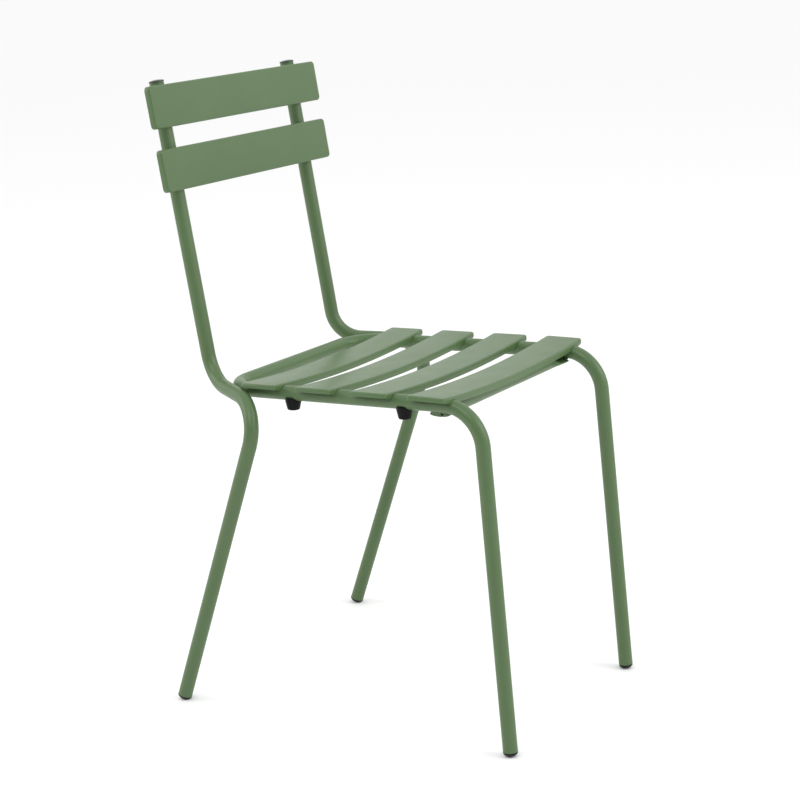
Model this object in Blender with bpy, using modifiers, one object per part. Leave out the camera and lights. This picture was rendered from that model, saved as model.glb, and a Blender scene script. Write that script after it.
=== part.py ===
"""Stacking chair: bent steel tube, pressed sheet slats, push-in plastic and rubber trim.

The chair faces -Y, its width runs along X, and it stands on Z = 0. Left and right are the sitter's,
so the left side is at +X. The frame is drawn with the front feet at Y = 0, and the finished chair
is then moved so that its box is centred on the origin.
"""

import math

import bmesh
import bpy
from mathutils import Matrix, Vector

# ---- Driving dimensions: metres and radians ------------------------------------------------------

GAP = 0.0003  # left between pieces that touch

TUBE_DIAMETER = 0.019
TUBE_WALL = 0.0015

RAIL_HALF_SPAN = 0.160  # centre of the chair to a side rail's axis
FRONT_FOOT_SPLAY = 0.0045  # how much wider than the rails the front feet stand, each side
FRONT_LEG_RAKE = math.radians(5.0)  # the leg leans back as it rises
FRONT_BEND_RADIUS = 0.053
RAIL_HEIGHT = 0.4452  # side rail's axis, carried forward to the front feet
SEAT_TILT = math.radians(2.6)  # the seat falls towards the back
HOOP_REAR_Y = 0.421
HOOP_CORNER_RADIUS = 0.050

POST_INSET = 0.0145  # how much narrower than the rails the posts stand, each side
POST_RAKE = math.radians(9.8)
POST_TOP_HEIGHT = 0.8165
REAR_LEG_OUTSET = 0.052  # how much wider than the rails the rear legs stand, each side
REAR_LEG_RAKE = math.radians(19.3)
SWEEP_HEADING = math.radians(28.5)  # outward turn of the run that sweeps round the hoop's corner
SWEEP_FALL = math.radians(3.0)
SWEEP_BEND_RADIUS = 0.045

CROSS_TUBE_Y = 0.0965
CROSS_TUBE_INSET = 0.0025  # inside the rails' axes, at each end
CROSS_TUBE_DROP = 0.0095  # of its axis below the rails' axes
CROSS_TUBE_FLAT_WIDTH = 0.027  # of the ends, which are pressed flat under the rails
CROSS_TUBE_FLAT_THICKNESS = 0.0066
CROSS_TUBE_FLAT_LENGTH = 0.015
CROSS_TUBE_SHOULDER = 0.026  # length over which the round tube turns into the flat end

SEAT_SLAT_COUNT = 4
SEAT_SLAT_OVERHANG = 0.024  # past the rails' axes, at each end
SEAT_SLAT_WIDTH = 0.0538
SEAT_SLAT_PITCH = 0.0837
SEAT_SLAT_FRONT_Y = 0.075  # front edge of the front slat
SEAT_SLAT_SAG = 0.0085  # dish of the slat between its ends
SEAT_SLAT_LIFT = 0.0003  # of the sheet's underside above the rails
SEAT_SLAT_END_DEPTH = 0.006  # of its turned-down ends, which are shallower than its long edges
FRONT_SLAT_TILT = math.radians(1.4)  # it lies flatter, over the start of the front bends

BACK_SLAT_OVERHANG = 0.0395  # past the posts' axes, at each end
BACK_SLAT_WIDTH = 0.0548
BACK_SLAT_GAP = 0.0266
BACK_SLAT_TOP_INSET = 0.0035  # below the post tube's top end

SLAT_DEPTH = 0.009  # of a slat's turned-down edges
SLAT_SHEET = 0.002
SLAT_CORNER_RADIUS = 0.0055
SLAT_EDGE_RADIUS = 0.0024  # outside of the bend between face and edge

FOOT_DOME_RADIUS = 0.0115
FOOT_FLAT_DEPTH = 0.0006  # taken off the dome where it stands
FOOT_COLLAR_THICKNESS = 0.0015
FOOT_STEM_LENGTH = 0.016

POST_CAP_THICKNESS = 0.0025
POST_CAP_CROWN = 0.0012  # rise of its domed face
POST_CAP_LIP = 0.0003  # past the tube, all round
POST_CAP_STEM_LENGTH = 0.012

STEM_CLEARANCE = 0.0004  # all round, between a stem and the tube's bore
STEM_CHAMFER = 0.0008

BUMPER_SETBACK = 0.0015  # behind the middle of its gap between slats
BUMPER_TOP_RADIUS = 0.0106
BUMPER_BASE_RADIUS = 0.0082
BUMPER_HEIGHT = 0.0117  # below the rail
BUMPER_SADDLE = 0.0045  # how far it reaches up the rail's sides
BUMPER_EDGE_RADIUS = 0.001

FLOOR_BLOCK_SPAN = 2
FLOOR_BLOCK_DEPTH = 0.1

# ---- How finely curves are divided ---------------------------------------------------------------

TUBE_SIDES = 16
BEND_STEP = math.radians(12)
SLAT_STATIONS = 12
SLAT_CORNER_SEGMENTS = 4
SLAT_EDGE_SEGMENTS = 3
CROSS_TUBE_STEPS = 5  # rings along a shoulder
DOME_STEPS = 5
CROWN_STEPS = 2
BUMPER_EDGE_STEPS = 2
SHARP_ANGLE = math.radians(40)  # edges turning more than this are drawn sharp
ROUND_PROFILE = 0.5
MERGE_DISTANCE = 0.000001
SCREW_MERGE_DISTANCE = 0.00001

# ---- Sizes that follow ---------------------------------------------------------------------------

FRONT_FOOT_HALF_SPAN = RAIL_HALF_SPAN + FRONT_FOOT_SPLAY
POST_HALF_SPAN = RAIL_HALF_SPAN - POST_INSET
REAR_LEG_HALF_SPAN = RAIL_HALF_SPAN + REAR_LEG_OUTSET
SEAT_SLAT_LENGTH = 2 * (RAIL_HALF_SPAN + SEAT_SLAT_OVERHANG)
BACK_SLAT_LENGTH = 2 * (POST_HALF_SPAN + BACK_SLAT_OVERHANG)

TUBE_RADIUS = TUBE_DIAMETER / 2
BORE_FLAT_RADIUS = (TUBE_RADIUS - TUBE_WALL) * math.cos(math.pi / TUBE_SIDES)
STEM_RADIUS = BORE_FLAT_RADIUS - STEM_CLEARANCE

PAINT = ((0.165, 0.262, 0.141), 0.45, 0.0)
BLACK_PLASTIC = ((0.012, 0.013, 0.014), 0.45, 0.0)
BLACK_RUBBER = ((0.014, 0.014, 0.014), 0.75, 0.0)
DARK_CAP = ((0.022, 0.034, 0.024), 0.5, 0.0)


def rail_height(y):
    """Height of the side rails' axes at this depth."""
    return RAIL_HEIGHT - math.tan(SEAT_TILT) * y


# ---- Scene and objects ---------------------------------------------------------------------------


def clear_scene():
    for obj in list(bpy.data.objects):
        bpy.data.objects.remove(obj, do_unlink=True)


def new_collection(name):
    collection = bpy.data.collections.new(name)
    bpy.context.scene.collection.children.link(collection)
    return collection


def add_object(name, mesh, collection, origin, finish=None):
    obj = bpy.data.objects.new(name, mesh)
    obj.parent = origin
    collection.objects.link(obj)
    if finish:
        colour, roughness, metallic = finish
        material = bpy.data.materials.new(name + "_finish")
        material.use_nodes = True
        shader = material.node_tree.nodes["Principled BSDF"]
        shader.inputs["Base Color"].default_value = (*colour, 1)
        shader.inputs["Roughness"].default_value = roughness
        shader.inputs["Metallic"].default_value = metallic
        mesh.materials.append(material)
    else:
        obj.hide_render = True
        obj.display_type = "WIRE"
    return obj


def cut(obj, cutter):
    modifier = obj.modifiers.new("Cut by " + cutter.name, "BOOLEAN")
    modifier.operation = "DIFFERENCE"
    modifier.object = cutter


# ---- Bent tubes ----------------------------------------------------------------------------------


def bent_path(corners, radii):
    """The corner points with each inner corner replaced by points along its bend."""
    path = [corners[0]]
    for before, corner, after, radius in zip(corners, corners[1:], corners[2:], radii):
        back = (before - corner).normalized()
        ahead = (after - corner).normalized()
        turn = math.pi - back.angle(ahead)
        centre = corner + (back + ahead).normalized() * radius / math.cos(turn / 2)
        start = corner + back * radius * math.tan(turn / 2) - centre
        axis = back.cross(ahead).normalized()
        steps = max(2, round(turn / BEND_STEP))
        for step in range(steps + 1):
            turned = Matrix.Rotation(-turn * step / steps, 3, axis) @ start
            path.append(centre + turned)
    return path + [corners[-1]]


def tube_mesh(name, path, radius, capped):
    """A tube along the path: an open sleeve, or a solid rod with its end caps welded on."""
    curve = bpy.data.curves.new(name, "CURVE")
    curve.dimensions = "3D"
    curve.bevel_depth = radius
    curve.bevel_resolution = (TUBE_SIDES - 4) // 2
    curve.use_fill_caps = capped
    spline = curve.splines.new("POLY")
    spline.points.add(len(path) - 1)
    for point, place in zip(spline.points, path):
        point.co = (*place, 1)
    holder = bpy.data.objects.new(name, curve)
    bpy.context.scene.collection.objects.link(holder)
    graph = bpy.context.evaluated_depsgraph_get()
    mesh = bpy.data.meshes.new_from_object(holder.evaluated_get(graph))
    mesh.name = name
    bpy.data.objects.remove(holder)
    bpy.data.curves.remove(curve)
    work = bmesh.new()
    work.from_mesh(mesh)
    bmesh.ops.remove_doubles(work, verts=work.verts, dist=MERGE_DISTANCE)
    work.to_mesh(mesh)
    work.free()
    mesh.shade_smooth()
    mesh.set_sharp_from_angle(angle=SHARP_ANGLE)
    return mesh


def add_wall(obj):
    wall = obj.modifiers.new("Wall", "SOLIDIFY")
    wall.thickness = TUBE_WALL
    wall.offset = -1
    wall.use_even_offset = True


def hollow_tube(name, path, radius, collection, origin):
    obj = add_object(name, tube_mesh(name, path, radius, False), collection, origin, PAINT)
    add_wall(obj)


# ---- Frame layout --------------------------------------------------------------------------------


def leg_end(foot, top):
    """Where a leg tube is cut off, so that its domed cap stands on the floor."""
    upward = (top - foot).normalized()
    dome_centre = foot + upward * (FOOT_DOME_RADIUS - FOOT_FLAT_DEPTH) / upward.z
    centre_to_collar = math.sqrt(FOOT_DOME_RADIUS**2 - TUBE_RADIUS**2)
    return dome_centre - upward * (centre_to_collar - FOOT_COLLAR_THICKNESS - GAP), upward


def hoop_corners():
    """Left front foot, round the seat, to the right front foot."""
    slope = math.tan(FRONT_LEG_RAKE)
    top_height = RAIL_HEIGHT / (1 + math.tan(SEAT_TILT) * slope)
    foot = Vector((FRONT_FOOT_HALF_SPAN, 0, 0))
    front = Vector((RAIL_HALF_SPAN, slope * top_height, top_height))
    rear = Vector((RAIL_HALF_SPAN, HOOP_REAR_Y, rail_height(HOOP_REAR_Y)))
    half = [foot, front, rear]
    return half + [Vector((-p.x, p.y, p.z)) for p in reversed(half)]


def rear_frame_corners():
    """Left rear foot, the two bends that sweep round the hoop's rear corner, and the post's top."""
    outward = math.sin(SWEEP_HEADING)
    forward = math.cos(SWEEP_HEADING)
    corner_centre = Vector((RAIL_HALF_SPAN - HOOP_CORNER_RADIUS, HOOP_REAR_Y - HOOP_CORNER_RADIUS, 0))
    reach = HOOP_CORNER_RADIUS + TUBE_DIAMETER + GAP
    touch = corner_centre + Vector((forward, outward, 0)) * reach
    touch.z = rail_height(touch.y)
    run = Vector((outward, -forward, -math.tan(SWEEP_FALL)))
    low = touch + run * (REAR_LEG_HALF_SPAN - touch.x) / outward
    high = touch + run * (POST_HALF_SPAN - touch.x) / outward
    foot = Vector((low.x, low.y + math.tan(REAR_LEG_RAKE) * low.z, 0))
    rise = POST_TOP_HEIGHT - high.z
    top = high + Vector((0, math.tan(POST_RAKE), 1)) * rise
    return [foot, low, high, top]


def mirrored(points):
    return [Vector((-p.x, p.y, p.z)) for p in points]


def trimmed_path(corners, radii, feet):
    """The bent path with the tube's feet ends cut back for their caps. Feet are list indices."""
    corners = list(corners)
    for index in feet:
        corners[index] = leg_end(corners[index], corners[1 if index == 0 else -2])[0]
    return bent_path(corners, radii)


# ---- Slats ---------------------------------------------------------------------------------------


def pressed_slat(name, length, width, sag, end_depth, collection, origin):
    """A shallow tray along X, open below, dished by the sag. The top of its face's ends is Z = 0.

    Its long edges are turned down by the slat depth, and its ends by their own depth.
    """
    work = bmesh.new()
    bmesh.ops.create_cube(work, size=1)
    bmesh.ops.scale(work, vec=(length, width, SLAT_DEPTH), verts=work.verts)
    bmesh.ops.translate(work, vec=(0, 0, -SLAT_DEPTH / 2), verts=work.verts)
    upright = [e for e in work.edges if abs(e.verts[0].co.z - e.verts[1].co.z) > GAP]
    bmesh.ops.bevel(
        work, geom=upright, offset=SLAT_CORNER_RADIUS, segments=SLAT_CORNER_SEGMENTS,
        profile=ROUND_PROFILE, affect="EDGES",
    )
    underside = [f for f in work.faces if max(v.co.z for v in f.verts) < -GAP]
    bmesh.ops.delete(work, geom=underside, context="FACES_ONLY")
    for vert in work.verts:
        round_corner = (abs(vert.co.x) - length / 2) / SLAT_CORNER_RADIUS + 1
        if vert.co.z < -GAP and round_corner > 0:
            vert.co.z += (SLAT_DEPTH - end_depth) * round_corner * round_corner * (3 - 2 * round_corner)
    rim = [e for e in work.edges if min(v.co.z for v in e.verts) > -GAP]
    bmesh.ops.bevel(
        work, geom=rim, offset=SLAT_EDGE_RADIUS, segments=SLAT_EDGE_SEGMENTS,
        profile=ROUND_PROFILE, affect="EDGES",
    )
    for station in range(1, SLAT_STATIONS):
        place = (station / SLAT_STATIONS - 0.5) * (length - 2 * SLAT_CORNER_RADIUS)
        geometry = work.verts[:] + work.edges[:] + work.faces[:]
        bmesh.ops.bisect_plane(work, geom=geometry, plane_co=(place, 0, 0), plane_no=(1, 0, 0))
    for vert in work.verts:
        vert.co.z -= sag * (1 - (2 * vert.co.x / length) ** 2)
    mesh = bpy.data.meshes.new(name)
    work.to_mesh(mesh)
    work.free()
    mesh.shade_smooth()
    mesh.set_sharp_from_angle(angle=SHARP_ANGLE)
    obj = add_object(name, mesh, collection, origin, PAINT)
    sheet = obj.modifiers.new("Sheet", "SOLIDIFY")
    sheet.thickness = SLAT_SHEET
    sheet.offset = -1
    sheet.use_even_offset = True
    return obj


def seat_face_rise():
    """Height above the rails' axes of the end faces of a seat slat whose sheet lies on the rails."""
    rise_past_rail = SEAT_SLAT_SAG * (1 - (2 * RAIL_HALF_SPAN / SEAT_SLAT_LENGTH) ** 2)
    return TUBE_RADIUS + GAP + SLAT_SHEET + rise_past_rail


def seat_slats(collection, origin, cutters):
    """The dished seat slats, front to rear, notched over the rails and the sweeps beside them."""
    for index in range(SEAT_SLAT_COUNT):
        slat = pressed_slat(
            f"seat_slat_{index + 1}", SEAT_SLAT_LENGTH, SEAT_SLAT_WIDTH, SEAT_SLAT_SAG,
            SEAT_SLAT_END_DEPTH, collection, origin,
        )
        y = SEAT_SLAT_FRONT_Y + SEAT_SLAT_WIDTH / 2 + SEAT_SLAT_PITCH * index
        rise = (seat_face_rise() + SEAT_SLAT_LIFT) / math.cos(SEAT_TILT)
        slat.location = (0, y, rail_height(y) + rise)
        slat.rotation_euler.x = -SEAT_TILT if index else -FRONT_SLAT_TILT
        for cutter in cutters:
            cut(slat, cutter)


def back_slats(post_top, collection, origin):
    """The two flat slats on the front of the posts, from the top down."""
    up_post = Vector((0, math.sin(POST_RAKE), math.cos(POST_RAKE)))
    forward = Vector((0, -math.cos(POST_RAKE), math.sin(POST_RAKE)))
    for index, name in enumerate(("back_slat_upper", "back_slat_lower")):
        slat = pressed_slat(name, BACK_SLAT_LENGTH, BACK_SLAT_WIDTH, 0, SLAT_DEPTH, collection, origin)
        down = BACK_SLAT_TOP_INSET + BACK_SLAT_WIDTH / 2 + (BACK_SLAT_WIDTH + BACK_SLAT_GAP) * index
        top = Vector((0, post_top.y, post_top.z))
        slat.location = top - up_post * down + forward * (TUBE_RADIUS + GAP + SLAT_DEPTH)
        slat.rotation_euler.x = math.pi / 2 - POST_RAKE


# ---- Front cross tube ----------------------------------------------------------------------------


def cross_tube(hoop_clearance, collection, origin):
    """A straight tube under the front slat's face, its ends pressed flat and coped to the hoop."""
    radius = TUBE_RADIUS
    reach = RAIL_HALF_SPAN - CROSS_TUBE_INSET
    shoulder_start = reach - CROSS_TUBE_FLAT_LENGTH - CROSS_TUBE_SHOULDER
    half = [
        shoulder_start + CROSS_TUBE_SHOULDER * step / CROSS_TUBE_STEPS
        for step in range(CROSS_TUBE_STEPS + 1)
    ]
    half += [reach]
    stations = [-x for x in reversed(half)] + [0] + half
    path = [Vector((x, 0, 0)) for x in stations]
    end_radius = CROSS_TUBE_FLAT_THICKNESS / 2
    end_middle = CROSS_TUBE_DROP - radius - GAP - end_radius
    mesh = tube_mesh("front_cross_tube", path, radius, False)
    for vert in mesh.vertices:
        pressed = min(1, max(0, (abs(vert.co.x) - shoulder_start) / CROSS_TUBE_SHOULDER))
        pressed = pressed * pressed * (3 - 2 * pressed)
        across, up = vert.co.y / radius, vert.co.z / radius
        side = 0 if abs(vert.co.y) < GAP else math.copysign(1, across)
        flat_y = end_radius * across + side * (CROSS_TUBE_FLAT_WIDTH / 2 - end_radius)
        flat_z = end_middle + end_radius * up
        vert.co.y += (flat_y - vert.co.y) * pressed
        vert.co.z += (flat_z - vert.co.z) * pressed
    obj = add_object("front_cross_tube", mesh, collection, origin, PAINT)
    obj.location = (0, CROSS_TUBE_Y, rail_height(CROSS_TUBE_Y) - CROSS_TUBE_DROP / math.cos(SEAT_TILT))
    obj.rotation_euler.x = -SEAT_TILT
    add_wall(obj)
    cut(obj, hoop_clearance)


# ---- Caps and bumpers ----------------------------------------------------------------------------


def turned(name, profile, sides, collection, origin, finish):
    """The profile, as (radius, height) pairs from top to bottom, turned round Z."""
    work = bmesh.new()
    verts = [work.verts.new((radius, 0, height)) for radius, height in profile]
    for first, second in zip(verts, verts[1:]):
        work.edges.new((first, second))
    mesh = bpy.data.meshes.new(name)
    work.to_mesh(mesh)
    work.free()
    obj = add_object(name, mesh, collection, origin, finish)
    screw = obj.modifiers.new("Turn", "SCREW")
    screw.steps = screw.render_steps = sides
    screw.use_merge_vertices = True
    screw.merge_threshold = SCREW_MERGE_DISTANCE
    screw.use_smooth_shade = True
    return obj


def arc(centre, radius, start, end, steps):
    """Points (radius, height) of an arc about a centre, angles from the turning axis's +Z."""
    angles = [start + (end - start) * step / steps for step in range(steps + 1)]
    return [
        (centre[0] + radius * math.sin(angle), centre[1] + radius * math.cos(angle))
        for angle in angles
    ]


def stand_along(obj, place, direction):
    obj.location = place
    obj.rotation_euler = direction.to_track_quat("Z", "Y").to_euler()


def foot_cap(name, foot, top, floor, collection, origin):
    """A domed cap with its stem up the leg, flat where it stands. Its own Z = 0 is the tube's end."""
    end, upward = leg_end(foot, top)
    centre_to_collar = math.sqrt(FOOT_DOME_RADIUS**2 - TUBE_RADIUS**2)
    collar_top = -GAP
    collar_base = collar_top - FOOT_COLLAR_THICKNESS
    dome_edge = math.pi - math.asin(TUBE_RADIUS / FOOT_DOME_RADIUS)
    profile = [
        (0, FOOT_STEM_LENGTH),
        (STEM_RADIUS - STEM_CHAMFER, FOOT_STEM_LENGTH),
        (STEM_RADIUS, FOOT_STEM_LENGTH - STEM_CHAMFER),
        (STEM_RADIUS, collar_top),
        (TUBE_RADIUS, collar_top),
    ]
    profile += arc((0, collar_base + centre_to_collar), FOOT_DOME_RADIUS, dome_edge, math.pi, DOME_STEPS)
    cap = turned(name, profile, TUBE_SIDES, collection, origin, BLACK_PLASTIC)
    stand_along(cap, end, upward)
    cut(cap, floor)


def post_cap(name, top, collection, origin):
    """A cap with a low domed face. Its own Z = 0 is the tube's end."""
    direction = Vector((0, math.sin(POST_RAKE), math.cos(POST_RAKE)))
    face = POST_CAP_THICKNESS + GAP
    lip = TUBE_RADIUS + POST_CAP_LIP
    rim = lip - STEM_CHAMFER
    dome = (rim**2 + POST_CAP_CROWN**2) / (2 * POST_CAP_CROWN)
    crown = arc((0, face + POST_CAP_CROWN - dome), dome, 0, math.asin(rim / dome), CROWN_STEPS)
    profile = [
        *crown,
        (lip, face - STEM_CHAMFER),
        (lip, GAP),
        (STEM_RADIUS, GAP),
        (STEM_RADIUS, -POST_CAP_STEM_LENGTH + STEM_CHAMFER),
        (STEM_RADIUS - STEM_CHAMFER, -POST_CAP_STEM_LENGTH),
        (0, -POST_CAP_STEM_LENGTH),
    ]
    cap = turned(name, profile, TUBE_SIDES, collection, origin, DARK_CAP)
    stand_along(cap, top, direction)


def bumper(name, place, rail_cutter, collection, origin):
    """A tapered rubber bumper that saddles the rail. Its own Z = 0 is the rail's axis."""
    rail_base = -TUBE_RADIUS
    base = rail_base - BUMPER_HEIGHT
    corner = BUMPER_EDGE_RADIUS
    profile = [
        (0, rail_base + BUMPER_SADDLE),
        (BUMPER_TOP_RADIUS, rail_base + BUMPER_SADDLE),
        (BUMPER_TOP_RADIUS, rail_base),
        *arc(
            (BUMPER_BASE_RADIUS - corner, base + corner), corner, math.pi / 2, math.pi,
            BUMPER_EDGE_STEPS,
        ),
        (0, base),
    ]
    body = turned(name, profile, TUBE_SIDES, collection, origin, BLACK_RUBBER)
    body.location = place
    cut(body, rail_cutter)


def floor_block(cutters, origin):
    """A block whose top is the floor."""
    work = bmesh.new()
    bmesh.ops.create_cube(work, size=1)
    size = (FLOOR_BLOCK_SPAN, FLOOR_BLOCK_SPAN, FLOOR_BLOCK_DEPTH)
    bmesh.ops.scale(work, vec=size, verts=work.verts)
    bmesh.ops.translate(work, vec=(0, 0, -FLOOR_BLOCK_DEPTH / 2), verts=work.verts)
    mesh = bpy.data.meshes.new("floor_block")
    work.to_mesh(mesh)
    work.free()
    return add_object("floor_block", mesh, cutters, origin)


# ---- The chair -----------------------------------------------------------------------------------


def centre_on_origin(collection, origin):
    """Moves the chair so that its box is centred over the origin."""
    bpy.context.view_layer.update()
    graph = bpy.context.evaluated_depsgraph_get()
    depths = []
    for obj in collection.objects:
        evaluated = obj.evaluated_get(graph)
        mesh = evaluated.to_mesh()
        depths += [(evaluated.matrix_world @ vert.co).y for vert in mesh.vertices]
        evaluated.to_mesh_clear()
    origin.location.y = -(min(depths) + max(depths)) / 2


def build_chair():
    clear_scene()
    chair = new_collection("stacking_chair")
    cutters = new_collection("cutters")
    origin = bpy.data.objects.new("chair_origin", None)
    bpy.context.scene.collection.objects.link(origin)

    hoop_points = hoop_corners()
    hoop_radii = [FRONT_BEND_RADIUS, HOOP_CORNER_RADIUS, HOOP_CORNER_RADIUS, FRONT_BEND_RADIUS]
    hoop_path = trimmed_path(hoop_points, hoop_radii, (0, -1))
    hollow_tube("seat_hoop", hoop_path, TUBE_RADIUS, chair, origin)
    hoop_clearance = add_object(
        "hoop_clearance", tube_mesh("hoop_clearance", hoop_path, TUBE_RADIUS + GAP, True), cutters, origin
    )

    floor = floor_block(cutters, origin)
    sweep_radii = [SWEEP_BEND_RADIUS, SWEEP_BEND_RADIUS]
    clearances = [hoop_clearance]
    for side, mirror in (("left", False), ("right", True)):
        points = rear_frame_corners()
        hoop_foot, hoop_top = hoop_points[0], hoop_points[1]
        if mirror:
            points = mirrored(points)
            hoop_foot, hoop_top = mirrored((hoop_foot, hoop_top))
        path = trimmed_path(points, sweep_radii, (0,))
        hollow_tube("rear_frame_" + side, path, TUBE_RADIUS, chair, origin)
        name = "rear_clearance_" + side
        rod = tube_mesh(name, path, TUBE_RADIUS + GAP, True)
        clearances.append(add_object(name, rod, cutters, origin))
        foot_cap("foot_cap_front_" + side, hoop_foot, hoop_top, floor, chair, origin)
        foot_cap("foot_cap_rear_" + side, points[0], points[1], floor, chair, origin)
        post_cap("post_cap_" + side, points[-1], chair, origin)
        first_bumper = SEAT_SLAT_FRONT_Y + (SEAT_SLAT_WIDTH + SEAT_SLAT_PITCH) / 2 + BUMPER_SETBACK
        for end, gap_index in (("front", 0), ("rear", SEAT_SLAT_COUNT - 2)):
            y = first_bumper + SEAT_SLAT_PITCH * gap_index
            x = -RAIL_HALF_SPAN if mirror else RAIL_HALF_SPAN
            bumper(f"bumper_{end}_{side}", (x, y, rail_height(y)), hoop_clearance, chair, origin)

    cross_tube(hoop_clearance, chair, origin)
    seat_slats(chair, origin, clearances)
    back_slats(rear_frame_corners()[-1], chair, origin)
    centre_on_origin(chair, origin)


build_chair()
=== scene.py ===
"""Looks of the stacking chair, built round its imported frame.

Every CAD node is replaced by a finer piece of the same place and size: bent tubes drawn out ring
by ring, pressed slats with rounded folds, and turned caps and bumpers. Weld beads are added where
metal meets metal. Lengths are in metres and angles in radians. The chair faces -Y, and the sitter's
left is +X.
"""

import logging
import math
import sys
from dataclasses import dataclass
from enum import Enum, IntEnum
from typing import Callable, Iterable, Optional, Union

import bmesh
import bpy
from mathutils import Matrix, Vector

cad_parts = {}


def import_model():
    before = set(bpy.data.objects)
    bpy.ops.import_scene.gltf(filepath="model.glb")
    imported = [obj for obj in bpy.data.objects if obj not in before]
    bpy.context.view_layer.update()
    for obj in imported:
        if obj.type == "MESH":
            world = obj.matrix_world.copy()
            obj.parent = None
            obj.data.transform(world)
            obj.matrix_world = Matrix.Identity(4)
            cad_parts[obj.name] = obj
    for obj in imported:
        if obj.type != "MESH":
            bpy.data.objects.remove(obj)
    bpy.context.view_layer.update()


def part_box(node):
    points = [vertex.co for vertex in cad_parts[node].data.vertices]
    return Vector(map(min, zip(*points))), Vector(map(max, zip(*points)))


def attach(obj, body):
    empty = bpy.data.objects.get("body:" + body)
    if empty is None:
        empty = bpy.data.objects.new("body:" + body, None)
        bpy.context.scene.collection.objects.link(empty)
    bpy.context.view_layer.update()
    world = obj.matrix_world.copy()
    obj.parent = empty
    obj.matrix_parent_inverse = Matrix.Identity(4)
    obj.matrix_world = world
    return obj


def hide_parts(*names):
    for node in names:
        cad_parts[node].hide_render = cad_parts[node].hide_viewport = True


log = logging.getLogger("stacking_chair")

Piece = bpy.types.Object

FIT_GAP = 0.0003  # left between pieces that touch
HAIR = 0.000001  # points nearer than this are one
SHEET = 0.002  # thickness of the slats' sheet metal
WALL_DEPTH = 0.009  # of the slats' turned-down walls
CREASE = math.radians(35)  # edges sharper than this stay sharp
ROOT_BODY = "root"


class Slot(Enum):
    """The record's material slots."""

    PAINT = "paint"
    FOOT = "foot_plastic"
    POST_CAP = "post_cap_plastic"
    BUMPER = "bumper_rubber"


class Side(Enum):
    """The sitter's sides, by the sign of X."""

    LEFT = 1
    RIGHT = -1

    @property
    def label(self) -> str:
        """The side's name as the nodes spell it."""
        return self.name.lower()


# ---- Shader maths ----

Value = Union["Signal", float]


class ColourMix(IntEnum):
    """Which of the Mix node's sockets are its colours'."""

    SHARE = 0
    FIRST = 6
    SECOND = 7
    RESULT = 2


@dataclass
class Signal:
    """One output socket of a node tree, with arithmetic that adds Math nodes to the graph."""

    graph: "Graph"
    socket: bpy.types.NodeSocket

    def __add__(self, other: Value) -> "Signal":
        """The sum."""
        return self.graph.math("ADD", self, other)

    def __sub__(self, other: Value) -> "Signal":
        """The difference."""
        return self.graph.math("SUBTRACT", self, other)

    def __mul__(self, other: Value) -> "Signal":
        """The product."""
        return self.graph.math("MULTIPLY", self, other)

    def __rsub__(self, other: float) -> "Signal":
        """A number less this value."""
        return self.graph.math("SUBTRACT", other, self)

    def swing(self, width: float) -> "Signal":
        """A noise about 0.5 turned into a swing of that width about zero."""
        return (self - 0.5) * width


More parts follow.
